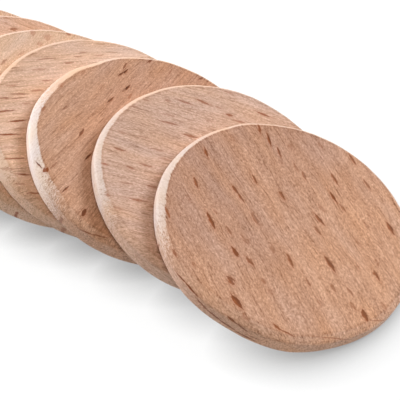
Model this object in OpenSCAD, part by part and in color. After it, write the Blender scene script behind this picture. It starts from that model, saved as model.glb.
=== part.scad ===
// A row of plain round wooden game tokens, fanned out on a table like fallen coins.
// Seven tokens lean, each on the one behind it, and the last leans on three that lie flat.
// The origin is the centre of the underside of the lowest flat token. The row runs along +X.

/* [Token] */
// Diameter of one token
token_d = 38; // [25:0.5:60]
// Thickness of one token
token_t = 3.2; // [2.4:0.1:5]
// Radius that is sanded on both edges of the rim
edge_r = 0.8; // [0.2:0.1:1.1]

/* [Leaning row] */
// Lean of the rearmost leaning token away from level, in degrees
row_lean = 24.2; // [18:0.1:30]
// Air between two tokens that lie on each other
face_gap = 0.05; // [0.02:0.01:0.1]
// Largest distance that a foot has slipped forward of a close row
slip = 4.1; // [0:0.1:6]
// Largest distance that a token lies to one side of the row's line
drift = 3.2; // [0:0.1:6]

/* [Flat stack] */
// Distance that the flat stack's upper tokens have slid forward
stack_slide = 2.4; // [0:0.1:6]

/* [Colour] */
// Red, green and blue of the front token's wood
front_wood = [0.79, 0.59, 0.45]; // [0:0.01:1]
// Red, green and blue of the palest wood in the row
pale_wood = [0.84, 0.69, 0.56]; // [0:0.01:1]
// Red, green and blue of the brownest wood in the row
brown_wood = [0.74, 0.55, 0.40]; // [0:0.01:1]

/* [Hidden] */
$fn = 96;

// Leaning tokens count from the front, flat ones from the top of their stack.
// One share for each leaning token but the rearmost, of the largest slip
slip_shares = [0.93, 1, 0.17, 0, 0.16, 0];
// One share for each leaning token, of the largest drift; plus is to the left, looking forward
drift_shares = [-1, -0.06, 0.06, 0.28, 0.06, 0.09, 0.03];
// One share for each flat token, of the stack's slide
slide_shares = [1, 0.45, 0];
// One share for each token, of the way from the brownest to the palest wood
pale_shares = [0, 0.85, 0.1, 0.6, 0.8, 0.4, 0.7, 0.5, 0.2, 0.9];

lean_count = len(drift_shares);
flat_count = len(slide_shares);
token_r = token_d / 2;
lay_t = token_t + face_gap;
// Centres of the two edge arcs at the ends of a token's underside lie this far apart
arc_span = token_d - 2 * edge_r;

// A token that lies flat: its centre along the row, and the height of its underside
function flat_x(i) = stack_slide * slide_shares[i];
function flat_z(i) = lay_t * (flat_count - 1 - i);

// The front edge arc of the stack's top token carries the rearmost leaning token:
// two arcs of the edge radius, one on the table and one up here, touch its underside.
stack_arc_x = flat_x(0) + token_r - edge_r;
stack_arc_z = flat_z(0) + token_t - edge_r;
rear_foot = stack_arc_x
    + ((stack_arc_z - edge_r) * cos(row_lean) + 2 * edge_r + face_gap) / sin(row_lean);

// In a close row each token lies flush on the next. A foot that slips forward drops its
// token's lean, until the rear edge of its underside lies on the next one's top face.
function lean_drop(i, next_lean) = asin(slip * slip_shares[i] * sin(next_lean) / arc_span);
function lean(i) = i == lean_count - 1
    ? row_lean
    : let (next_lean = lean(i + 1)) next_lean - lean_drop(i, next_lean);
function foot(i) = i == lean_count - 1
    ? rear_foot
    : foot(i + 1) + lay_t / sin(lean(i + 1)) + slip * slip_shares[i];

function mix(a, b, share) = a + (b - a) * share;

// One token, its underside on the table and its centre on the Z axis
module token() {
    rotate_extrude() {
        square([token_r - edge_r, token_t]);
        translate([0, edge_r]) square([token_r, token_t - 2 * edge_r]);
        for (z = [edge_r, token_t - edge_r])
            translate([token_r - edge_r, z]) circle(edge_r);
    }
}

// A token that rolls on its foot's edge arc from flat up to its lean
module leaning_token(i) {
    color(i == 0 ? front_wood : mix(brown_wood, pale_wood, pale_shares[i]))
        translate([foot(i), drift * drift_shares[i], edge_r])
            rotate([0, lean(i), 0])
                translate([edge_r - token_r, 0, -edge_r])
                    token();
}

// A token of the flat stack
module flat_token(i) {
    color(mix(brown_wood, pale_wood, pale_shares[lean_count + i]))
        translate([flat_x(i), 0, flat_z(i)])
            token();
}

for (i = [0 : lean_count - 1])
    leaning_token(i);
for (i = [0 : flat_count - 1])
    flat_token(i);
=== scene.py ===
# A fanned row of plain round beech tokens: seven lean on one another, the last on a flat stack of three.
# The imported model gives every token's place. Lengths are metres unless a name says mm.
import math

import bpy
import numpy as np
from mathutils import Matrix, Vector
from mathutils.bvhtree import BVHTree


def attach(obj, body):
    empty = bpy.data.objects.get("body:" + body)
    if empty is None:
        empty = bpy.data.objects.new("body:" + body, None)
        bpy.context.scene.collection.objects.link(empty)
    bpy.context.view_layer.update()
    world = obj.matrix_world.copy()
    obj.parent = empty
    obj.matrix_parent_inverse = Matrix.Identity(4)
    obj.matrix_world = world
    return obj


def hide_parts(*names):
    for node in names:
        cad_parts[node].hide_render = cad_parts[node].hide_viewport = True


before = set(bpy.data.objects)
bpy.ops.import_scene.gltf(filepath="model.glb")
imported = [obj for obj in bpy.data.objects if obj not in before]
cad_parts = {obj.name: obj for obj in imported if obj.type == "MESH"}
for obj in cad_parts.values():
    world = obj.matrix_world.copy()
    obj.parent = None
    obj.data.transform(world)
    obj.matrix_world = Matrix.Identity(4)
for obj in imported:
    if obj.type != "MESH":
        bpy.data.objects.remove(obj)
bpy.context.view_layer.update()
print("frame loaded:", len(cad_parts), "tokens")

mm = 0.001

# Camera
camera = {
    "azimuth": 32.5,     # degrees, 0 looks along +Y
    "elevation": 42.41,  # degrees above the table
    "roll": 3.15,        # degrees, clockwise as the camera sees it
    "aim": (0.06591, 0.00334, 0.0),  # the table point at the middle of the picture
    "distance": 0.1765,
    "lensMm": 100.8,
    "sensorMm": 36.0,
    "pixels": 400,       # the picture's side
    "clip": (0.01, 10),  # the nearest and the farthest that it sees
}


def directionFrom(azimuth, elevation):
    # unit vector from the aim towards a lamp or camera at that azimuth and elevation
    a, e = math.radians(azimuth), math.radians(elevation)
    return Vector((math.sin(a) * math.cos(e), -math.cos(a) * math.cos(e), math.sin(e)))


def makeCamera():
    back = directionFrom(camera["azimuth"], camera["elevation"])
    right = Vector((0, 0, 1)).cross(back).normalized()
    up = back.cross(right)
    turn = Matrix.Rotation(-math.radians(camera["roll"]), 3, back)
    right, up = turn @ right, turn @ up
    eye = Vector(camera["aim"]) + back * camera["distance"]
    data = bpy.data.cameras.new("camera")
    data.lens, data.sensor_width = camera["lensMm"], camera["sensorMm"]
    data.clip_start, data.clip_end = camera["clip"]
    item = bpy.data.objects.new("camera", data)
    axes = Matrix((right, up, back)).transposed().to_4x4()
    item.matrix_world = Matrix.Translation(eye) @ axes
    bpy.context.scene.collection.objects.link(item)
    bpy.context.scene.camera = item
    return {"eye": eye, "right": right, "up": up, "back": back}


view = makeCamera()


def rayThrough(x, y):
    # the direction from the eye through a pixel of the picture
    half = camera["pixels"] / 2
    reach = camera["lensMm"] / camera["sensorMm"] * camera["pixels"]
    ray = view["right"] * (x - half) / reach - view["up"] * (y - half) / reach - view["back"]
    return ray.normalized()


print("camera set")

# Token shape
token = {
    "edgeMm": 0.8,         # how far the sanded edges reach in from the rim
    "dropMm": 0.8,         # and how far down
    "bevel": (1.05, 1.8),  # its start at the face and its end at the rim: 1 is a corner, 2 is smooth
    "edgeWobble": 0.12,    # share by which the sanding varies round the rim
    "broadWaves": (0.5, (2, 3, 5, 8)),  # the wobble's strength, and how many waves it has all round
    "fineWaves": (0.3, (23, 37, 53)),
    "outOfRoundMm": 0.05,  # how far a rim without dents dips in, at most
    "roundWaves": (2, 3),
    # where the sanding left the rims proud, or flat where the middle value is below 0: angle from the way
    # down the slope, mm, spread in degrees
    "dents": {
        "leaning_token_1": [(197, 0.22, 14), (226, 0.06, 12), (250, 0.14, 13), (273, -0.07, 9),
                            (300, 0.46, 15), (139, 0.2, 7), (100, 0.16, 24), (57, 0.05, 14)],
        "leaning_token_2": [(203, 0.2, 13), (240, -0.16, 24), (158, -0.1, 8), (66, 0.14, 16),
                            (109, 0.12, 13)],
        "leaning_token_3": [(93, 0.42, 22), (118, 0.2, 9), (155, -0.38, 8), (202, 0.28, 13), (241, 0.04, 14),
                            (60, 0.2, 14)],
        "leaning_token_4": [(113, 0.15, 14), (143, 0.12, 8), (62, 0.08, 10), (90, -0.025, 9)],
    },
    # where the sanding reaches further in over the face, in the same way
    "sanded": {
        "leaning_token_1": [(205, 0.5, 18), (264, 0.6, 20), (300, 0.2, 40)],
        "leaning_token_2": [(200, 0.15, 26), (250, 0.25, 30)],
        "leaning_token_3": [(182, 0.5, 22), (205, 0.2, 14), (226, 0.35, 12), (246, 0.7, 16), (272, 0.3, 20)],
        "leaning_token_4": [(240, 0.45, 22)],
    },
    # what the underside's edge lacks of the sanding, on the tokens that lean
    "underEdge": [(270, -0.52, 32)],
    "crownMm": 0.03,       # how far the face falls off towards the rim
    "crownPower": 4,       # the higher, the closer to the rim it starts
    "faceRings": 44,
    "edgeRings": 8,
    "rimRings": 5,
    "spokes": 288,
}


def measure(node):
    # centre, axes with the unit normal last and pointing up, radius and thickness of a CAD token
    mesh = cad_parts[node].data
    points = np.empty(len(mesh.vertices) * 3, np.float32)
    mesh.vertices.foreach_get("co", points)
    # points that are the same to a tenth of a micrometre count once
    points = np.unique(points.reshape(-1, 3).astype(float).round(7), axis=0)
    centre = (points.min(0) + points.max(0)) / 2
    normal = np.linalg.svd(points - centre, full_matrices=False)[2][2]
    normal *= np.sign(normal[2])
    height = (points - centre) @ normal
    radius = np.linalg.norm(points - centre - height[:, None] * normal, axis=1).max()
    across = np.array((0.0, 1.0, 0.0))
    along = np.cross(across, normal)
    return {"centre": centre, "axes": np.array((along / np.linalg.norm(along), across, normal)),
            "radius": radius, "thickness": height.max() - height.min()}


def waves(angle, seed, counts):
    # a smooth closed wobble round the rim, from -1 to 1: a few sines with seeded phases
    draw = np.random.default_rng(seed)
    total = sum(np.sin(n * angle + draw.uniform(0, 2 * np.pi)) / math.sqrt(n) for n in counts)
    return total / np.abs(total).max()


def humps(listed, angle):
    # bell curves round the rim, in metres
    total = 0 * angle
    for middle, height, spread in listed:
        off = (np.degrees(angle) - middle + 180) % 360 - 180
        total = total + height * mm * np.exp(-(off / spread) ** 2)
    return total


def tokenSurface(name, place, seed):
    # A profile of radius r and height z, carried round the axis by the angle. It runs from the top's
    # centre over the face, round the upper edge, down the rim, round the lower edge and back to the
    # centre below. The edge lies between a quarter ellipse and a bevel: x^m + y^n = 1, where m and n are
    # the bevel values. The edge and the rim's radius change a little with the angle.
    angle = np.arange(token["spokes"]) * 2 * np.pi / token["spokes"]
    broad, broadCounts = token["broadWaves"]
    fine, fineCounts = token["fineWaves"]
    sway = broad * waves(angle, seed, broadCounts) + fine * waves(angle, seed + 5, fineCounts)
    wobble = 1 + token["edgeWobble"] * sway
    edge = (token["edgeMm"] * mm + humps(token["sanded"].get(name, []), angle)) * wobble
    if name in token["dents"]:
        outer = place["radius"] + humps(token["dents"][name], angle)
    else:
        dip = 0.5 + 0.5 * waves(angle, seed + 1, token["roundWaves"])
        outer = place["radius"] - token["outOfRoundMm"] * mm * dip
    half = place["thickness"] / 2
    drop = token["dropMm"] * mm * wobble
    share = np.arange(1, token["faceRings"] + 1)[:, None] / token["faceRings"]
    bend = np.radians(90) * np.arange(1, token["edgeRings"] + 1)[:, None] / token["edgeRings"]
    atFace, atRim = token["bevel"]
    less = humps(token["underEdge"] if name.startswith("leaning") else [], angle)
    sides = []
    for part in (0, less):
        start = outer - edge - part
        arcR = start + np.sin(bend) ** (2 / atFace) * (edge + part)
        arcZ = half - drop - part + np.abs(np.cos(bend)) ** (2 / atRim) * (drop + part)
        faceR = share * start
        sides.append((np.concatenate((faceR, arcR)), np.concatenate((half + 0 * faceR, arcZ))))
    (upperR, upperZ), (underR, underZ) = sides
    down = np.arange(1, token["rimRings"])[:, None] / token["rimRings"]
    wallZ = upperZ[-1] - down * (upperZ[-1] + underZ[-1])
    r = np.concatenate((upperR, outer + 0 * down, underR[::-1]))
    z = np.concatenate((upperZ, wallZ, -underZ[::-1]))
    fall = token["crownMm"] * mm * np.clip(r / place["radius"], 0, 1) ** token["crownPower"]
    z = z - np.sign(z) * np.minimum(fall, np.abs(z))
    rings, spokes = r.shape
    local = np.stack((r * np.cos(angle), r * np.sin(angle), z), -1).reshape(-1, 3)
    local = np.vstack((local, (0, 0, half), (0, 0, -half)))
    ring, spoke = np.meshgrid(np.arange(rings - 1), np.arange(spokes), indexing="ij")
    after = (spoke + 1) % spokes
    quads = np.stack((ring * spokes + spoke, (ring + 1) * spokes + spoke,
                      (ring + 1) * spokes + after, ring * spokes + after), -1).reshape(-1, 4)
    # two fans of triangles close the profile at both centres
    first = np.arange(spokes)
    second = (first + 1) % spokes
    last = (rings - 1) * spokes
    top = np.stack((np.full(spokes, rings * spokes), first, second), -1)
    under = np.stack((np.full(spokes, rings * spokes + 1), last + second, last + first), -1)
    world = place["centre"] + local @ place["axes"]
    # how far outside the start of the sanded edge each point lies, in mm; both centres count as inside
    starts = outer - edge - np.where(z < 0, less, 0)
    past = np.append((r - starts).ravel(), (-mm, -mm)) / mm
    return world, local, past, quads, np.vstack((top, under))


# Marks in the wood
# Each mark is a spindle between two points of the picture, both listed: x, y, x, y, then its
# width in mm, strength and redness.
marksSeen = {
    "leaning_token_1": [
        (258, 124, 261, 134, 0.5, 0.9, 0.3), (267, 133, 271, 146, 0.45, 1.0, 0.0),
        (277, 147, 281, 157, 0.5, 0.9, 0.0), (204, 147, 208, 157, 0.5, 0.95, 0.2),
        (194, 177, 198, 188, 0.5, 0.85, 0.1), (232, 185, 238, 194, 0.55, 0.85, 0.0),
        (237, 192, 244, 202, 0.5, 0.8, 0.1), (252, 174, 257, 184, 0.45, 0.85, 0.0),
        (279, 191, 285, 200, 0.7, 0.8, 0.1), (207, 212, 215, 229, 0.55, 0.95, 0.0),
        (251, 212, 260, 226, 0.8, 0.55, 0.0), (226, 226, 232, 235, 0.45, 0.6, 0.1),
        (165, 207, 170, 218, 0.4, 0.8, 0.5), (172, 249, 177, 257, 0.4, 0.8, 0.3),
        (231, 246, 238, 257, 0.8, 1.0, 0.2), (245, 256, 253, 265, 0.6, 0.75, 0.2),
        (287, 253, 293, 267, 0.6, 0.75, 0.2), (325, 256, 336, 273, 0.65, 0.9, 0.0),
        (227, 276, 234, 285, 1.0, 0.85, 0.15), (231, 294, 243, 309, 0.85, 1.0, 0.1),
        (262, 278, 266, 284, 0.6, 0.45, 0.2), (306, 278, 310, 286, 0.45, 0.6, 0.1),
        (293, 162, 298, 171, 0.45, 0.5, 0.0), (302, 171, 306, 180, 0.45, 0.65, 0.0),
        (331, 173, 338, 185, 0.5, 0.8, 0.1), (329, 191, 338, 204, 0.5, 1.0, 0.1),
        (339, 203, 346, 212, 0.35, 0.55, 0.0), (314, 213, 324, 225, 0.6, 0.85, 0.0),
        (314, 226, 321, 235, 0.55, 0.65, 0.1), (271, 245, 275, 253, 0.9, 0.3, 0.0),
        (363, 179, 371, 190, 0.45, 0.7, 0.1), (349, 154, 356, 165, 0.5, 0.7, 0.1),
        (387, 222, 394, 235, 0.7, 0.9, 0.0), (373, 270, 381, 282, 0.6, 0.85, 0.1),
        (347, 287, 354, 297, 0.4, 0.55, 0.2), (350, 302, 356, 310, 0.5, 0.5, 0.3),
        (361, 308, 368, 322, 0.8, 0.95, 0.15), (213, 209, 217, 214, 0.4, 0.4, 0.3),
        (318, 142, 323, 149, 0.6, 0.35, 0.2), (364, 222, 369, 230, 0.6, 0.4, 0.1),
        (366, 210, 371, 218, 0.4, 0.35, 0.2), (375, 259, 379, 267, 0.5, 0.35, 0.3),
        (192, 261, 196, 268, 0.5, 0.4, 0.4), (242, 313, 248, 321, 0.6, 0.45, 0.5),
        (280, 160, 283, 165, 0.4, 0.4, 0.0), (318, 204, 325, 212, 0.6, 0.4, 0.3),
        (187, 195, 192, 203, 0.6, 0.25, 0.0), (242, 235, 248, 244, 0.9, 0.35, 0.2),
        (356, 239, 361, 247, 0.6, 0.3, 0.2), (330, 283, 336, 292, 0.5, 0.45, 0.1),
        (355, 262, 360, 270, 0.4, 0.4, 0.1), (317, 298, 323, 307, 0.7, 0.35, 0.2),
        (268, 287, 273, 295, 0.8, 0.25, 0.2), (381, 301, 387, 311, 0.5, 0.4, 0.4),
        (288, 142, 293, 150, 0.8, 0.25, 0.1), (231, 134, 236, 143, 1.0, 0.2, 0.1),
        (175, 271, 186, 284, 0.22, 1.0, 0.1), (184, 281, 197, 296, 0.28, 1.0, 0.1),
        (195, 297, 208, 311, 0.34, 1.0, 0.0), (206, 309, 221, 321, 0.34, 1.0, 0.0),
        (218, 319, 236, 331, 0.32, 1.0, 0.1), (233, 330, 256, 342, 0.3, 0.9, 0.1),
        (226, 315, 238, 325, 0.34, 0.8, 0.0), (236, 323, 249, 333, 0.34, 0.8, 0.0),
        (272, 323, 282, 331, 0.4, 0.9, 0.3), (280, 329, 295, 337, 0.28, 0.8, 0.2),
        (318, 337, 354, 340, 0.2, 0.5, 0.3), (366, 321, 390, 320, 0.2, 0.5, 0.3),
        (245, 334, 262, 341, 0.24, 0.6, 0.0),
    ],
    "leaning_token_2": [
        (161, 121, 178, 125, 0.45, 0.65, 0.1), (165, 100, 171, 101, 0.5, 0.45, 0.1),
        (176, 99, 193, 105, 0.4, 0.6, 0.2), (184, 101, 192, 105, 0.4, 0.6, 0.2),
        (196, 99, 210, 105, 0.45, 0.75, 0.3), (215, 106, 222, 109, 0.4, 0.4, 0.1),
        (224, 91, 234, 94, 0.4, 0.35, 0.5), (255, 111, 270, 117, 0.5, 0.85, 0.4),
        (225, 114, 233, 116, 0.5, 0.85, 0.2), (234, 120, 245, 123, 0.4, 0.6, 0.3),
        (160, 113, 176, 117, 0.4, 0.3, 0.2), (143, 99, 149, 101, 0.4, 0.35, 0.1),
        (130, 106, 138, 107, 0.4, 0.3, 0.2), (183, 134, 197, 138, 0.45, 0.75, 0.1),
        (112, 147, 125, 151, 0.5, 0.65, 0.0), (126, 166, 135, 169, 0.5, 0.6, 0.0),
        (139, 163, 152, 167, 0.45, 0.6, 0.2), (128, 198, 148, 202, 0.45, 0.65, 0.2),
        (101, 163, 109, 165, 0.4, 0.55, 0.7), (146, 185, 157, 188, 0.4, 0.6, 0.1),
        (150, 148, 163, 151, 0.4, 0.4, 0.0), (140, 136, 150, 139, 0.4, 0.25, 0.0),
        (118, 131, 128, 134, 0.5, 0.25, 0.1), (150, 206, 158, 208, 0.4, 0.5, 0.3),
        (104, 194, 110, 196, 0.4, 0.35, 0.6), (112, 207, 124, 210, 0.4, 0.3, 0.4),
        (205, 120, 214, 122, 0.4, 0.3, 0.1), (262, 124, 270, 127, 0.4, 0.3, 0.3),
        (171, 161, 160, 158, 0.4, 0.35, 0.1), (120, 182, 133, 184, 0.4, 0.25, 0.1),
    ],
    "leaning_token_3": [
        (123, 69, 127, 63, 0.38, 0.75, 0.3), (118, 76, 124, 72, 0.38, 0.9, 0.1),
        (123, 74, 128, 69, 0.42, 1.0, 0.1), (122, 92, 127, 88, 0.38, 0.5, 0.1),
        (125, 90, 130, 85, 0.42, 1.0, 0.0), (107, 103, 114, 97, 0.42, 0.85, 0.1),
        (147, 63, 153, 59, 0.42, 0.8, 0.3), (168, 76, 173, 67, 0.25, 0.42, 0.5),
        (128, 99, 132, 94, 0.4, 0.38, 0.8), (198, 80, 204, 77, 0.38, 0.8, 0.2),
        (63, 110, 69, 105, 0.38, 0.42, 0.2), (79, 136, 84, 129, 0.42, 0.85, 0.3),
        (85, 160, 92, 153, 0.42, 0.95, 0.1), (43, 172, 49, 167, 0.8, 1.0, 0.6),
        (50, 169, 57, 162, 0.42, 0.45, 0.4), (62, 192, 69, 186, 0.42, 0.9, 0.1),
        (82, 216, 86, 209, 0.7, 0.95, 0.3), (35, 161, 43, 169, 0.26, 1.0, 0.0),
        (58, 87, 64, 83, 0.8, 0.4, 0.9), (42, 111, 45, 106, 0.7, 0.35, 0.8),
        (79, 229, 93, 235, 0.25, 0.7, 0.5), (91, 234, 108, 238, 0.25, 0.7, 0.5),
        (60, 130, 64, 125, 0.42, 0.25, 0.2), (92, 117, 96, 112, 0.38, 0.25, 0.2),
        (98, 90, 103, 85, 0.7, 0.2, 0.5), (81, 75, 85, 70, 0.7, 0.25, 0.7),
    ],
    "leaning_token_4": [
        (-2, 98, 12, 98, 0.35, 0.75, 0.3), (8, 99, 28, 97, 0.3, 0.6, 0.2),
        (10, 94, 29, 94, 0.3, 0.6, 0.1), (-4, 112, 16, 110, 0.35, 0.85, 0.1),
        (8, 122, 27, 120, 0.35, 0.95, 0.0), (-4, 135, 20, 134, 0.35, 0.95, 0.1),
        (4, 159, 26, 158, 0.3, 0.7, 0.4), (16, 174, 32, 175, 0.35, 0.85, 0.1),
        (27, 193, 40, 193, 0.35, 0.7, 0.4), (36, 60, 55, 58, 0.3, 0.45, 0.4),
        (73, 57, 83, 56, 0.25, 0.55, 0.2), (78, 53, 88, 52, 0.25, 0.5, 0.2),
        (93, 56, 104, 55, 0.35, 0.4, 0.4), (63, 63, 73, 63, 0.35, 0.35, 0.6),
        (31, 70, 46, 69, 0.5, 0.3, 0.7), (41, 81, 53, 80, 0.35, 0.6, 0.3),
        (30, 91, 43, 90, 0.35, 0.5, 0.6), (5, 86, 18, 85, 0.4, 0.35, 0.7),
        (2, 147, 14, 147, 0.5, 0.3, 0.7), (14, 129, 27, 128, 0.4, 0.3, 0.5),
        (0, 168, 12, 169, 0.5, 0.35, 0.3), (14, 184, 26, 184, 0.35, 0.4, 0.3),
        (20, 104, 31, 103, 0.35, 0.35, 0.4),
    ],
    "leaning_token_5": [
        (1, 64, 7, 59, 0.5, 0.5, 0.3), (18, 55, 25, 51, 0.5, 0.3, 0.4),
        (32, 30, 33, 35, 0.9, 0.35, 0.8), (66, 33, 71, 35, 0.7, 0.6, 0.6),
        (47, 33, 48, 41, 1.3, 0.3, 0.9), (37, 45, 43, 43, 1.0, 0.25, 0.9),
    ],
    "leaning_token_6": [
        (10, 29, 18, 29, 0.6, 0.75, 0.3), (3, 18, 9, 18, 0.6, 0.4, 0.5), (4, 23, 8, 23, 0.5, 0.3, 0.5),
    ],
}

marks = {
    "lengthen": 1.14,       # a mark's ends fade, so it is made this much longer than it is seen
    "reachMm": 0.9,         # how deep a mark goes under the surface it was seen on
    "nearScore": 40,        # a face with a lower score than this shows the mark that it lies nearest to
    "noMark": 9.0,          # the place along and across a mark that every other face gets
    "faceCosine": 0.99,     # a mark that faces up at least this squarely lies on the flat of the top
    "fewest": 5,            # with fewer of those, the grain isn't read from them
    # the strewn ones, on the undersides and on what the picture doesn't show of the tops
    "perSide": 70,
    "within": 0.98,         # the share of the side's area that they lie in
    "strayDegrees": 4,      # how far they stray from the grain
    "lengthMm": (1.2, 3.2),
    "widthMm": (0.3, 0.65),
    "strength": (0.3, 1),
    "strengthPower": 1.3,   # above 1, weak ones are commoner than strong ones
    "redness": (0, 0.5),
}

# The rays of the wood as the rims show them: upright lines where a rim cuts the grain across, and low
# patches where it runs along the grain.
rays = {
    "spacingMm": 2.6,
    "clearMm": 2.0,         # what a ray keeps from the other marks
    "stray": 0.3,           # how far it strays sideways, as a share of the spacing
    "rise": 0.3,            # and up or down, as a share of the thickness
    "endGrain": 0.7,        # above this cosine between the grain and the way out, a ray is a line
    "half": (0.3, 0.5),     # half its length, as a share of the thickness or of a patch
    "patchMm": 2,
    "lineHalfWidthMm": (0.08, 0.16),
    "patchHalfWidthMm": (0.2, 0.4),
    "strength": (0.05, 0.25),
    "redness": (0, 0.3),
}
print("marks listed:", sum(len(listed) for listed in marksSeen.values()))


def seenMarks(name, place, tree):
    # the marks listed for a token, each as middle, direction, normal, half length, half width, strength
    # and redness, found by sending rays through the mark on to the token's surface
    found = []
    for x1, y1, x2, y2, width, strength, redness in marksSeen.get(name, []):
        middle, normal = tree.ray_cast(view["eye"], rayThrough((x1 + x2) / 2, (y1 + y2) / 2))[:2]
        if middle is None:
            continue
        ends = []
        for x, y in ((x1, y1), (x2, y2)):
            ray = rayThrough(x, y)
            hit = tree.ray_cast(view["eye"], ray)[0]
            # an end that just misses the token goes on to the plane that touches it at the middle
            ends.append(hit or view["eye"] + ray * ((middle - view["eye"]).dot(normal) / ray.dot(normal)))
        along = place["axes"] @ np.array(ends[1] - ends[0])
        normal = place["axes"] @ np.array(normal)
        along = along - (along @ normal) * normal
        length = np.linalg.norm(along)
        middle = place["axes"] @ (np.array(middle) - place["centre"])
        half = length / 2 * marks["lengthen"]
        found.append((middle, along / length, normal, half, width * mm / 2, strength, redness))
    return found


def strewnMarks(place, grain, seed, side, keep):
    # seeded marks along the grain, on the top (side 1) or the underside (-1), where the test keeps them
    draw = np.random.default_rng(seed)
    up = np.array((0, 0, side))
    found = []
    for _ in range(marks["perSide"]):
        r = place["radius"] * math.sqrt(draw.uniform(0, marks["within"]))
        a = draw.uniform(0, 2 * np.pi)
        middle = np.array((r * math.cos(a), r * math.sin(a), side * place["thickness"] / 2))
        turn = grain + math.radians(draw.normal(0, marks["strayDegrees"]))
        length = draw.uniform(*marks["lengthMm"]) * mm
        width = draw.uniform(*marks["widthMm"]) * mm
        strength = draw.uniform(*marks["strength"]) ** marks["strengthPower"]
        redness = draw.uniform(*marks["redness"])
        if keep(middle):
            direction = np.array((math.cos(turn), math.sin(turn), 0))
            found.append((middle, direction, up, length / 2, width / 2, strength, redness))
    return found


def rayLines(place, grain, seed):
    # the seeded rays round a rim, in the same form as the marks
    draw = np.random.default_rng(seed)
    count = int(2 * np.pi * place["radius"] / (rays["spacingMm"] * mm))
    upright = np.array((0, 0, 1.0))
    found = []
    for n in range(count):
        a = (n + draw.uniform(-rays["stray"], rays["stray"])) * 2 * np.pi / count
        height = draw.uniform(-rays["rise"], rays["rise"]) * place["thickness"]
        out = np.array((math.cos(a), math.sin(a), 0))
        middle = place["radius"] * out + height * upright
        if abs(math.cos(a - grain)) > rays["endGrain"]:
            direction, whole, widths = upright, place["thickness"], rays["lineHalfWidthMm"]
        else:
            direction, whole, widths = np.cross(upright, out), rays["patchMm"] * mm, rays["patchHalfWidthMm"]
        half = draw.uniform(*rays["half"]) * whole
        width = draw.uniform(*widths) * mm
        strength = draw.uniform(*rays["strength"])
        redness = draw.uniform(*rays["redness"])
        found.append((middle, direction, out, half, width, strength, redness))
    return found


def writeCorners(mesh, name, values):
    # a UV map with two numbers for each corner of a face
    mesh.uv_layers.new(name=name).data.foreach_set("uv", values.ravel().astype(np.float32))


def writeMarks(mesh, local, past, found):
    # Each face takes the mark that it lies nearest to, in the mark's own length and width, and every
    # corner of the face keeps its place along and across that mark: 0 at its middle, 1 at its end.
    corners = np.empty(len(mesh.loops), np.int32)
    mesh.loops.foreach_get("vertex_index", corners)
    starts = np.empty(len(mesh.polygons), np.int32)
    totals = np.empty(len(mesh.polygons), np.int32)
    mesh.polygons.foreach_get("loop_start", starts)
    mesh.polygons.foreach_get("loop_total", totals)
    cornerPoints = local[corners]
    middles = np.add.reduceat(cornerPoints, starts, axis=0) / totals[:, None]
    best = np.full(len(middles), np.inf)
    chosen = np.zeros(len(middles), np.int32)
    gauges = []
    for n, (middle, direction, out, half, width, _, _) in enumerate(found):
        side = np.cross(out, direction)
        gauges.append((middle, direction / half, side / width))
        gap = middles - middle
        score = ((gap @ direction / half) ** 2 + (gap @ side / width / 2) ** 2
                 + (gap @ out / (marks["reachMm"] * mm)) ** 4)
        closer = score < best
        best[closer], chosen[closer] = score[closer], n
    faceOf = np.repeat(np.arange(len(totals)), totals)
    mine = chosen[faceOf]
    origin, along, across = (np.array([gauge[k] for gauge in gauges])[mine] for k in range(3))
    gap = cornerPoints - origin
    spots = np.stack([np.einsum("ij,ij->i", gap, way) for way in (along, across)], -1)
    spots[best[faceOf] >= marks["nearScore"]] = marks["noMark"]
    writeCorners(mesh, "marks", spots)
    writeCorners(mesh, "markKinds", np.array([mark[5:] for mark in found])[mine])
    writeCorners(mesh, "rimPlace", np.stack((past, 0 * past), -1)[corners])


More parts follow.
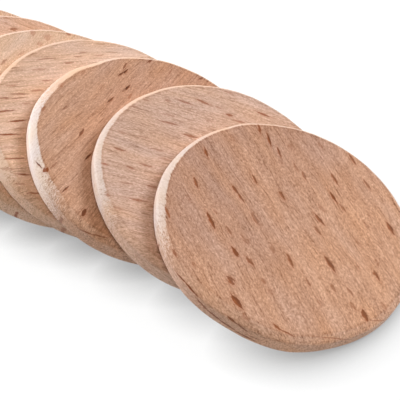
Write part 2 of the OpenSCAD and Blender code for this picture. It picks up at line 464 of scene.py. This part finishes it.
# Beech, as a shader node group that every token's material uses
beechMaps = ("marks", "markKinds", "rimPlace")
# the pale and cream colours, with their ways, paint highlights on the lit rims
beechWays = ("secondToward", "creamToward", "paleToward")
beechColours = ("wood", "second", "fleck", "red", "rim", "cream", "pale")
beechNumbers = ("seed", "streaks", "speckle", "bands", "pores", "rimShare", "rimSheen")
beechValues = {
    "seedShiftMm": (13.7, 7.9, 3.1),  # how far a seed of 1 moves all the noises
    "swayMm": (0.0, 2.6, 1.0),        # how far the grain bends
    # noises: cells in a mm along the grain, across it and through the token, then detail and roughness
    "sway": ((0.06, 0.16, 0.1), 1.0, 0.5),
    "broad": ((0.04, 0.11, 0.11), 1.0, 0.5),
    "bands": ((0.02, 0.6, 0.6), 2.0, 0.5),
    "streaks": ((0.18, 3.0, 3.0), 2.0, 0.6),
    "speckle": ((2.2, 4.8, 4.8), 2.0, 0.8),
    "mottle": ((0.14, 0.45, 0.45), 0.0, 0.5),
    "pores": ((0.3, 4.2, 4.2), 0.0, 0.5),
    "glints": ((3.0, 6.6, 6.6), 0.0, 0.5),
    "specks": ((0.9, 3.6, 3.6), 2.0, 0.7),   # the fibres' dark ends on the rim
    "ragged": ((1.1, 3.0, 3.0), 2.0, 0.6),   # of the marks' outlines
    # where each of these starts to show and where it shows in full
    "poresFrom": (0.62, 0.76),
    "glintsFrom": (0.58, 0.76),
    "specksFrom": (0.5, 0.66),
    "endGrainFrom": (0.35, 0.85),   # the cosine between the grain and the way out to the rim
    "rimFromMm": (-0.1, 0.15),      # past the start of the sanded edge
    "stripFromMm": (-0.5, -0.1),    # the face's last strip before that edge
    "markFrom": (-0.05, 0.25),
    "haloFrom": (-1.4, 0.2),
    "markShadeFrom": (-0.7, 0.5),        # across a mark, away from its painted lit side into its painted shade
    # how strong each is
    "secondUneven": 0.9,    # how unevenly the second tone takes over
    "glintLight": 0.25,
    "specksDark": 0.3,
    "stripDark": 0.16,
    "rimRaggedMm": (0.3, 0.18),     # by the streaks and by the speckle
    # painted highlights on rims: how ragged, where they start and are full towards their side, how strong
    "creamPatch": (0.3, 0.35, 0.75, 0.7),
    "palePatch": (0.4, 0.76, 0.96, 0.9),
    "highlightSmooth": 0.8,    # the share of the grain that the painted highlight washes out there
    # red, green and blue: the powers make darker wood redder, and the drifts make it pinker or greyer
    "tonePowers": (0.85, 1.1, 1.33),
    "castDrifts": (0.06, -0.07, -0.28),
    "markRagged": (0.7, 1.8),       # along and across a mark
    "markPowers": (1.6, 1.1),       # how blunt its ends and its sides are
    "markRed": 0.55,        # how red its painted lit side is
    "haloShare": 0.22,
    "markShare": 0.92,
    # the relief that each gives, up or down
    "streaksUp": 0.6,
    "speckleUp": 0.9,
    "poresDown": 0.3,
    "marksDown": 0.5,
    "specksDown": 0.4,
    "roughness": (0.25, 0.65),      # by the streaks, and in the mean
}


def fill(tree, socket, value):
    # an input linked from a socket or set to a value
    if isinstance(value, bpy.types.NodeSocket):
        tree.links.new(value, socket)
    else:
        socket.default_value = value


def addNode(tree, kind, settings=None, **inputs):
    # a node with its settings and inputs; an input's key is i and its number, or its name with _ for spaces
    node = tree.nodes.new(kind)
    for key, value in (settings or {}).items():
        setattr(node, key, value)
    for key, value in inputs.items():
        numbered = key[0] == "i" and key[1:].isdigit()
        fill(tree, node.inputs[int(key[1:]) if numbered else key.replace("_", " ")], value)
    return node


def maths(tree, operation, a, b=0.0, c=0.0):
    return addNode(tree, "ShaderNodeMath", {"operation": operation}, i0=a, i1=b, i2=c).outputs[0]


def vectors(tree, operation, a, b):
    return addNode(tree, "ShaderNodeVectorMath", {"operation": operation}, i0=a, i1=b).outputs[0]


def scaled(tree, vector, scale):
    return addNode(tree, "ShaderNodeVectorMath", {"operation": "SCALE"}, i0=vector, Scale=scale).outputs[0]


def dot(tree, a, b):
    return addNode(tree, "ShaderNodeVectorMath", {"operation": "DOT_PRODUCT"}, i0=a, i1=b).outputs["Value"]


def separate(tree, vector):
    return addNode(tree, "ShaderNodeSeparateXYZ", i0=vector).outputs


def noise(tree, place, stretch, detail, roughness):
    # noise on a place in mm, with one cell every 1 / stretch mm along each axis
    made = addNode(tree, "ShaderNodeTexNoise", {"noise_dimensions": "3D"}, Scale=1.0, Detail=detail,
                   Vector=vectors(tree, "MULTIPLY", place, stretch), Roughness=roughness)
    return made.outputs["Fac"]


def centredNoise(tree, place, name):
    # one of the noises listed above, less its mean
    return maths(tree, "SUBTRACT", noise(tree, place, *beechValues[name]), 0.5)


def ramp(tree, value, low, high):
    # 0 up to low, 1 from high on, smooth between them
    return addNode(tree, "ShaderNodeMapRange", {"interpolation_type": "SMOOTHSTEP"},
                   i0=value, i1=low, i2=high).outputs[0]


def mixColours(tree, kind, share, a, b):
    settings = {"data_type": "RGBA", "blend_type": kind}
    return addNode(tree, "ShaderNodeMix", settings, i0=share, i6=a, i7=b).outputs[2]


def beechGroup():
    made = beechValues
    tree = bpy.data.node_groups.new("beech", "ShaderNodeTree")
    face = tree.interface
    for kind, names in (("NodeSocketVector", ("place",) + beechWays + beechMaps),
                        ("NodeSocketColor", beechColours), ("NodeSocketFloat", beechNumbers)):
        for name in names:
            face.new_socket(name, in_out="INPUT", socket_type=kind)
    face.new_socket("Colour", in_out="OUTPUT", socket_type="NodeSocketColor")
    for name in ("Height", "Roughness", "Coat"):
        face.new_socket(name, in_out="OUTPUT", socket_type="NodeSocketFloat")
    given = tree.nodes.new("NodeGroupInput").outputs

    # the place in mm, x along the grain, y across it and z through the token, shifted by the seed
    shifted = vectors(tree, "ADD", given["place"], scaled(tree, made["seedShiftMm"], given["seed"]))
    sway = scaled(tree, made["swayMm"], centredNoise(tree, shifted, "sway"))
    place = vectors(tree, "ADD", shifted, sway)

    broad = centredNoise(tree, place, "broad")
    bands = centredNoise(tree, place, "bands")
    streaks = centredNoise(tree, place, "streaks")
    speckle = centredNoise(tree, place, "speckle")
    mottle = centredNoise(tree, place, "mottle")
    ragged = centredNoise(tree, place, "ragged")
    pores = ramp(tree, noise(tree, place, *made["pores"]), *made["poresFrom"])
    glints = ramp(tree, noise(tree, place, *made["glints"]), *made["glintsFrom"])
    specks = ramp(tree, noise(tree, place, *made["specks"]), *made["specksFrom"])

    # the second tone takes over along one direction, unevenly, from -1 at one rim to 1 at the other
    towardSecond = dot(tree, given["place"], given["secondToward"])
    share = maths(tree, "MULTIPLY_ADD", towardSecond, 0.5, 0.5)
    share = maths(tree, "MULTIPLY_ADD", broad, made["secondUneven"], share)
    colour = mixColours(tree, "MIX", ramp(tree, share, 0.0, 1.0), given["wood"], given["second"])
    tone = maths(tree, "MULTIPLY_ADD", bands, given["bands"], 1.0)
    tone = maths(tree, "MULTIPLY_ADD", streaks, given["streaks"], tone)
    tone = maths(tree, "MULTIPLY_ADD", speckle, given["speckle"], tone)
    tone = maths(tree, "SUBTRACT", tone, maths(tree, "MULTIPLY", pores, given["pores"]))
    tone = maths(tree, "MULTIPLY_ADD", glints, made["glintLight"], tone)

    # the rim: paler where it was sanded, with the fibres' dark ends where it cuts the grain across
    past = separate(tree, given["rimPlace"])[0]
    byStreaks, bySpeckle = made["rimRaggedMm"]
    jagged = maths(tree, "MULTIPLY_ADD", speckle, bySpeckle, past)
    rim = ramp(tree, maths(tree, "MULTIPLY_ADD", streaks, byStreaks, jagged), *made["rimFromMm"])
    x, y, _ = separate(tree, given["place"])
    outward = addNode(tree, "ShaderNodeCombineXYZ", i0=x, i1=y, i2=0.0).outputs[0]
    r = addNode(tree, "ShaderNodeVectorMath", {"operation": "LENGTH"}, i0=outward).outputs["Value"]
    ends = ramp(tree, maths(tree, "DIVIDE", maths(tree, "ABSOLUTE", x), r), *made["endGrainFrom"])
    endSpecks = maths(tree, "MULTIPLY", maths(tree, "MULTIPLY", specks, ends), rim)
    tone = maths(tree, "SUBTRACT", tone, maths(tree, "MULTIPLY", endSpecks, made["specksDark"]))
    # the face's last strip before the sanded edge is a little darker
    strip = ramp(tree, past, *made["stripFromMm"])
    strip = maths(tree, "MULTIPLY", strip, maths(tree, "SUBTRACT", 1.0, rim))
    tone = maths(tree, "MULTIPLY_ADD", strip, -made["stripDark"], tone)
    colour = mixColours(tree, "MIX", maths(tree, "MULTIPLY", rim, given["rimShare"]), colour, given["rim"])
    # painted highlights: the rims on the side that faces the lamps are painted paler and creamier
    patches = []
    for name in ("cream", "pale"):
        uneven, low, high, strength = made[name + "Patch"]
        toward = dot(tree, given["place"], given[name + "Toward"])
        patch = ramp(tree, maths(tree, "MULTIPLY_ADD", speckle, uneven, toward), low, high)
        patch = maths(tree, "MULTIPLY", patch, rim)
        colour = mixColours(tree, "MIX", maths(tree, "MULTIPLY", patch, strength), colour, given[name])
        patches.append(patch)
    # the painted highlights smooth the grain away there, as bright light washes it out
    grainLeft = maths(tree, "MULTIPLY_ADD", maths(tree, "MAXIMUM", *patches), -made["highlightSmooth"], 1.0)
    tone = maths(tree, "MULTIPLY_ADD", maths(tree, "SUBTRACT", tone, 1.0), grainLeft, 1.0)
    # darker wood is also redder, and the wood drifts between a pinker and a greyer cast
    shades = []
    for power, drift in zip(made["tonePowers"], made["castDrifts"]):
        cast = maths(tree, "MULTIPLY_ADD", mottle, drift, 1.0)
        shades.append(maths(tree, "MULTIPLY", maths(tree, "POWER", tone, power), cast))
    shade = addNode(tree, "ShaderNodeCombineColor", i0=shades[0], i1=shades[1], i2=shades[2]).outputs[0]
    colour = mixColours(tree, "MULTIPLY", 1.0, colour, shade)

    # the marks: full in the middle, gone at the ends and sides, ragged by a little noise
    spot = separate(tree, given["marks"])
    kind = separate(tree, given["markKinds"])
    raggedAlong, raggedAcross = made["markRagged"]
    endPower, sidePower = made["markPowers"]
    along = maths(tree, "MULTIPLY_ADD", ragged, raggedAlong, spot[0])
    across = maths(tree, "MULTIPLY_ADD", ragged, raggedAcross, spot[1])
    body = maths(tree, "SUBTRACT", 1.0, maths(tree, "POWER", maths(tree, "ABSOLUTE", along), endPower))
    body = maths(tree, "SUBTRACT", body, maths(tree, "POWER", maths(tree, "ABSOLUTE", across), sidePower))
    mask = maths(tree, "MULTIPLY", ramp(tree, body, *made["markFrom"]), kind[0])
    halo = maths(tree, "MULTIPLY", ramp(tree, body, *made["haloFrom"]), kind[0])
    # painted light and shade across each sunken mark: lighter and redder along one side, darkest along the
    # other
    lit = maths(tree, "SUBTRACT", 1.0, ramp(tree, across, *made["markShadeFrom"]))
    redness = maths(tree, "MAXIMUM", maths(tree, "MULTIPLY", lit, made["markRed"]), kind[1])
    mark = mixColours(tree, "MIX", redness, given["fleck"], given["red"])
    colour = mixColours(tree, "MIX", maths(tree, "MULTIPLY", halo, made["haloShare"]), colour, given["red"])
    colour = mixColours(tree, "MIX", maths(tree, "MULTIPLY", mask, made["markShare"]), colour, mark)

    height = maths(tree, "MULTIPLY", speckle, made["speckleUp"])
    height = maths(tree, "MULTIPLY_ADD", streaks, made["streaksUp"], height)
    hollows = ((pores, "poresDown"), (mask, "marksDown"), (endSpecks, "specksDown"))
    for hollow, depth in hollows:
        height = maths(tree, "SUBTRACT", height, maths(tree, "MULTIPLY", hollow, made[depth]))
    height = maths(tree, "MULTIPLY", height, grainLeft)
    rough = maths(tree, "MULTIPLY_ADD", streaks, *made["roughness"])
    coat = maths(tree, "MULTIPLY", rim, given["rimSheen"])
    out = tree.nodes.new("NodeGroupOutput").inputs
    for socket, value in {"Colour": colour, "Height": height, "Roughness": rough, "Coat": coat}.items():
        tree.links.new(value, out[socket])
    return tree


beech = beechGroup()
print("beech group made")


def colourOf(r, g, b):
    # a colour as the eye names it, 0 to 255, as the linear values that a shader takes
    share = np.array((r, g, b)) / 255
    linear = np.where(share <= 0.04045, share / 12.92, ((share + 0.055) / 1.055) ** 2.4)
    return (*map(float, linear), 1.0)


def tokenMaterial(name, place, look, grain):
    material = bpy.data.materials.new(name)
    material.use_nodes = True
    tree = material.node_tree
    tree.nodes.clear()
    # world to the token's own wood: centre, lean, then grain direction, then metres to mm
    lean = Matrix(place["axes"].tolist()).transposed()
    turn = lean @ Matrix.Rotation(grain, 3, "Z")
    coords = addNode(tree, "ShaderNodeTexCoord").outputs["Object"]
    mapping = addNode(tree, "ShaderNodeMapping", {"vector_type": "TEXTURE"}, Vector=coords,
                      Location=tuple(place["centre"]), Rotation=tuple(turn.to_euler("XYZ")),
                      Scale=(mm, mm, mm)).outputs[0]
    inputs = {"place": mapping}
    for key in beechMaps:
        inputs[key] = addNode(tree, "ShaderNodeUVMap", {"uv_map": key}).outputs[0]
    # each way, in the axes of the grain, is so long that a place on the rim in that way gives 1
    radius = place["radius"] / mm
    for key in beechWays:
        turned = math.radians(look[key]) - grain
        inputs[key] = (math.cos(turned) / radius, math.sin(turned) / radius, 0.0)
    inputs.update({key: colourOf(*look[key]) for key in beechColours})
    inputs.update({key: look[key] for key in beechNumbers})
    wood = addNode(tree, "ShaderNodeGroup", {"node_tree": beech}, **inputs)
    bump = addNode(tree, "ShaderNodeBump", Strength=look["relief"], Distance=look["reliefMm"] * mm,
                   Height=wood.outputs["Height"])
    shader = addNode(tree, "ShaderNodeBsdfPrincipled", Base_Color=wood.outputs["Colour"],
                     Roughness=wood.outputs["Roughness"], Normal=bump.outputs[0],
                     Coat_Weight=wood.outputs["Coat"], Coat_Roughness=look["coatRoughness"],
                     Specular_IOR_Level=look["specular"],
                     Sheen_Weight=look["sheen"], Sheen_Roughness=look["sheenRoughness"])
    addNode(tree, "ShaderNodeOutputMaterial", Surface=shader.outputs[0])
    return material


# Each token's wood, with colours as the eye names them and angles from the way down the token's slope.
# The grain follows the marks that are seen, and "grain" is used where none are.
plainLook = {
    "grain": 0, "seed": 1.0,
    "wood": (200, 157, 130), "second": (208, 162, 132), "secondToward": 0,
    "fleck": (110, 62, 36), "red": (160, 72, 34),
    "rim": (192, 152, 128), "rimShare": 0.4, "rimSheen": 0.4,
    # pale and cream paint highlights on the rims that face the lamps, with the ways that those face
    "pale": (212, 194, 184), "paleToward": 204,
    "cream": (232, 199, 176), "creamToward": 145,
    "streaks": 0.7, "speckle": 1.3, "bands": 0.3, "pores": 0.25,
    "relief": 0.5, "reliefMm": 0.04,
    "coatRoughness": 0.5, "specular": 0.15, "sheen": 0.05, "sheenRoughness": 0.5,
}
looks = {
    "leaning_token_1": {
        "seed": 1.3, "wood": (180, 138, 116), "second": (201, 154, 125),
        "fleck": (100, 48, 18), "red": (168, 92, 44), "paleToward": 197,
        "streaks": 0.62, "speckle": 1.8, "bands": 0.4,
    },
    "leaning_token_2": {
        "seed": 2.1, "wood": (202, 166, 147), "second": (202, 163, 141),
        "fleck": (128, 80, 46), "paleToward": 209,
    },
    "leaning_token_3": {
        "seed": 3.7, "wood": (196, 152, 126), "second": (188, 140, 113), "secondToward": 50,
        "fleck": (66, 26, 8), "red": (160, 84, 40),
        "pale": (230, 215, 208), "paleToward": 219, "cream": (240, 206, 180),
        "streaks": 0.75, "bands": 0.15,
    },
    "leaning_token_4": {
        "seed": 4.4, "wood": (221, 186, 165), "second": (217, 178, 153), "secondToward": 240,
        "fleck": (120, 62, 30),
        "pale": (224, 196, 176), "paleToward": 222, "cream": (226, 189, 161),
        "streaks": 0.6, "speckle": 0.7, "bands": 0.6,
    },
    "leaning_token_5": {
        "grain": 100, "seed": 5.2, "wood": (219, 183, 157), "second": (215, 175, 147),
        "streaks": 0.4, "speckle": 0.8, "pores": 0.1,
    },
    "leaning_token_6": {
        "grain": 20, "seed": 6.9, "wood": (216, 174, 150), "second": (206, 162, 136),
        "red": (176, 106, 62), "streaks": 0.5, "speckle": 0.8,
    },
    "leaning_token_7": {"grain": 130, "seed": 7.5, "wood": (218, 178, 152), "second": (212, 170, 140)},
    "flat_token_1": {"grain": 35, "seed": 8.3, "wood": (211, 168, 140), "second": (204, 160, 130)},
    "flat_token_2": {"grain": -50, "seed": 9.8, "wood": (202, 156, 126), "second": (198, 150, 118)},
    "flat_token_3": {"grain": 80, "seed": 11.1, "wood": (216, 176, 148), "second": (210, 168, 138)},
}

places = {name: measure(name) for name in looks}


def coveredBy(nearer, place):
    # a test that says whether a point of a token lies under the next nearer token
    def covered(point):
        world = place["centre"] + point @ place["axes"]
        gap = world - nearer["centre"]
        flat = gap - (gap @ nearer["axes"][2]) * nearer["axes"][2]
        return np.linalg.norm(flat) < nearer["radius"]
    return covered


def everywhere(point):
    return True


def grainOf(found, look):
    # the marks' mean direction, taken with doubled angles so that both ends of a mark count alike
    flats = [mark for mark in found if abs(mark[2][2]) > marks["faceCosine"]]
    if len(flats) < marks["fewest"]:
        return math.radians(look["grain"])
    doubled = sum(mark[3] * np.exp(2j * math.atan2(mark[1][1], mark[1][0])) for mark in flats)
    return float(np.angle(doubled) / 2)


def makeToken(index, name):
    place = places[name]
    look = {**plainLook, **looks[name]}
    seed = 10 * (index + 1)  # a token has ten seeds of its own
    world, local, past, quads, triangles = tokenSurface(name, place, seed)
    faces = quads.tolist() + triangles.tolist()
    mesh = bpy.data.meshes.new(name)
    mesh.from_pydata(world.tolist(), [], faces)
    mesh.polygons.foreach_set("use_smooth", np.ones(len(mesh.polygons), bool))
    found = seenMarks(name, place, BVHTree.FromPolygons(world.tolist(), faces))
    grain = grainOf(found, look)
    # strewn marks fill what the nearer token covers, the whole top of a token with none in the picture,
    # and every underside
    if index > 0:
        nearer = places[list(looks)[index - 1]]
        keep = coveredBy(nearer, place) if name in marksSeen else everywhere
        found += strewnMarks(place, grain, seed + 2, 1, keep)
    found += strewnMarks(place, grain, seed + 3, -1, everywhere)
    taken = [mark[0] for mark in found]
    found += [line for line in rayLines(place, grain, seed + 4)
              if all(np.linalg.norm(line[0] - middle) > rays["clearMm"] * mm for middle in taken)]
    writeMarks(mesh, local, past, found)
    mesh.materials.append(tokenMaterial(name + "_beech", place, look, grain))
    piece = bpy.data.objects.new(name + "_wood", mesh)
    bpy.context.scene.collection.objects.link(piece)
    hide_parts(name)
    body = name.replace("_token", "")
    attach(piece, body)
    lean = math.degrees(math.acos(place["axes"][2][2]))
    print(name, "made, leaning", round(lean, 2), "with its grain at", round(math.degrees(grain)))


for index, name in enumerate(looks):
    makeToken(index, name)

# Floor and light
studio = {
    "floor": (0.75, 0.79, 0.815),
    "floorReach": 3.0,       # from the middle to each edge
    "floorShown": 0.08,      # what the camera sees of the light on the floor, with the lamps' soft shadow
    "floorGlow": 0.12,       # plain white that it sees besides, at the least
    # and white that it sees where the sky isn't hidden: how much, and within how many metres
    "nearShade": (0.72, 0.0064),
    "farShade": (0.16, 0.017),
    "shadeSamples": 16,
    "ambient": 0.13,
    "ambientColour": (1, 0.9, 0.78),
    # lamps: azimuth and elevation in degrees, distance and size in metres, how bright a white card
    # that faces the lamp is, and colour
    "lamps": {
        "right": (128, 42, 0.7, 0.4, 0.814, (0.909, 0.954, 1)),
        "left": (-88, 24, 0.7, 0.25, 1.2, (1, 1, 1)),
        "front": (50, 55, 0.7, 0.25, 0.24, (1, 0.84, 0.64)),
    },
}


def addLightPath(tree):
    # 1 where the camera, a reflection or something clear shows the surface
    path = addNode(tree, "ShaderNodeLightPath").outputs
    seen = maths(tree, "MAXIMUM", path["Is Camera Ray"], path["Is Glossy Ray"])
    return maths(tree, "MAXIMUM", seen, path["Is Transmission Ray"])


def makeFloor():
    mesh = bpy.data.meshes.new("floor")
    reach = studio["floorReach"]
    corners = [(-reach, -reach, 0), (reach, -reach, 0), (reach, reach, 0), (-reach, reach, 0)]
    mesh.from_pydata(corners, [], [(0, 1, 2, 3)])
    floor = bpy.data.objects.new("floor", mesh)
    bpy.context.scene.collection.objects.link(floor)
    material = bpy.data.materials.new("floorPaper")
    material.use_nodes = True
    tree = material.node_tree
    tree.nodes.clear()
    seen = addLightPath(tree)
    shown = [part * studio["floorShown"] for part in studio["floor"]]
    colour = mixColours(tree, "MIX", seen, (*studio["floor"], 1), (*shown, 1))
    paper = addNode(tree, "ShaderNodeBsdfDiffuse", Color=colour)
    level = studio["floorGlow"]
    for share, within in (studio["nearShade"], studio["farShade"]):
        sky = addNode(tree, "ShaderNodeAmbientOcclusion", {"samples": studio["shadeSamples"]},
                      Distance=within).outputs["AO"]
        level = maths(tree, "MULTIPLY_ADD", sky, share, level)
    level = maths(tree, "MULTIPLY", seen, level)
    glow = addNode(tree, "ShaderNodeEmission", Color=(1, 1, 1, 1), Strength=level)
    both = addNode(tree, "ShaderNodeAddShader", i0=paper.outputs[0], i1=glow.outputs[0])
    addNode(tree, "ShaderNodeOutputMaterial", Surface=both.outputs[0])
    mesh.materials.append(material)


def makeLamp(name, azimuth, elevation, distance, size, card, colour):
    # an area lamp whose light makes a white card that faces it as bright as the given value
    data = bpy.data.lights.new(name, "AREA")
    data.shape = "DISK"
    data.size = size
    data.energy = card * (math.pi * distance) ** 2
    data.color = colour
    lamp = bpy.data.objects.new(name, data)
    way = directionFrom(azimuth, elevation)
    lamp.location = Vector(camera["aim"]) + way * distance
    lamp.rotation_euler = way.to_track_quat("Z", "Y").to_euler()
    bpy.context.scene.collection.objects.link(lamp)


def makeWorld():
    world = bpy.data.worlds.new("world")
    world.use_nodes = True
    tree = world.node_tree
    tree.nodes.clear()
    seen = addLightPath(tree)
    strength = addNode(tree, "ShaderNodeMix", {"data_type": "FLOAT"}, i0=seen, i2=studio["ambient"], i3=1.0)
    colour = mixColours(tree, "MIX", seen, (*studio["ambientColour"], 1), (1, 1, 1, 1))
    sky = addNode(tree, "ShaderNodeBackground", Color=colour, Strength=strength.outputs[0])
    addNode(tree, "ShaderNodeOutputWorld", Surface=sky.outputs[0])
    bpy.context.scene.world = world


makeFloor()
for name, values in studio["lamps"].items():
    makeLamp(name, *values)
makeWorld()
bpy.context.scene.view_settings.view_transform = "Standard"
print("floor, lamps and world made")

bpy.context.view_layer.update()
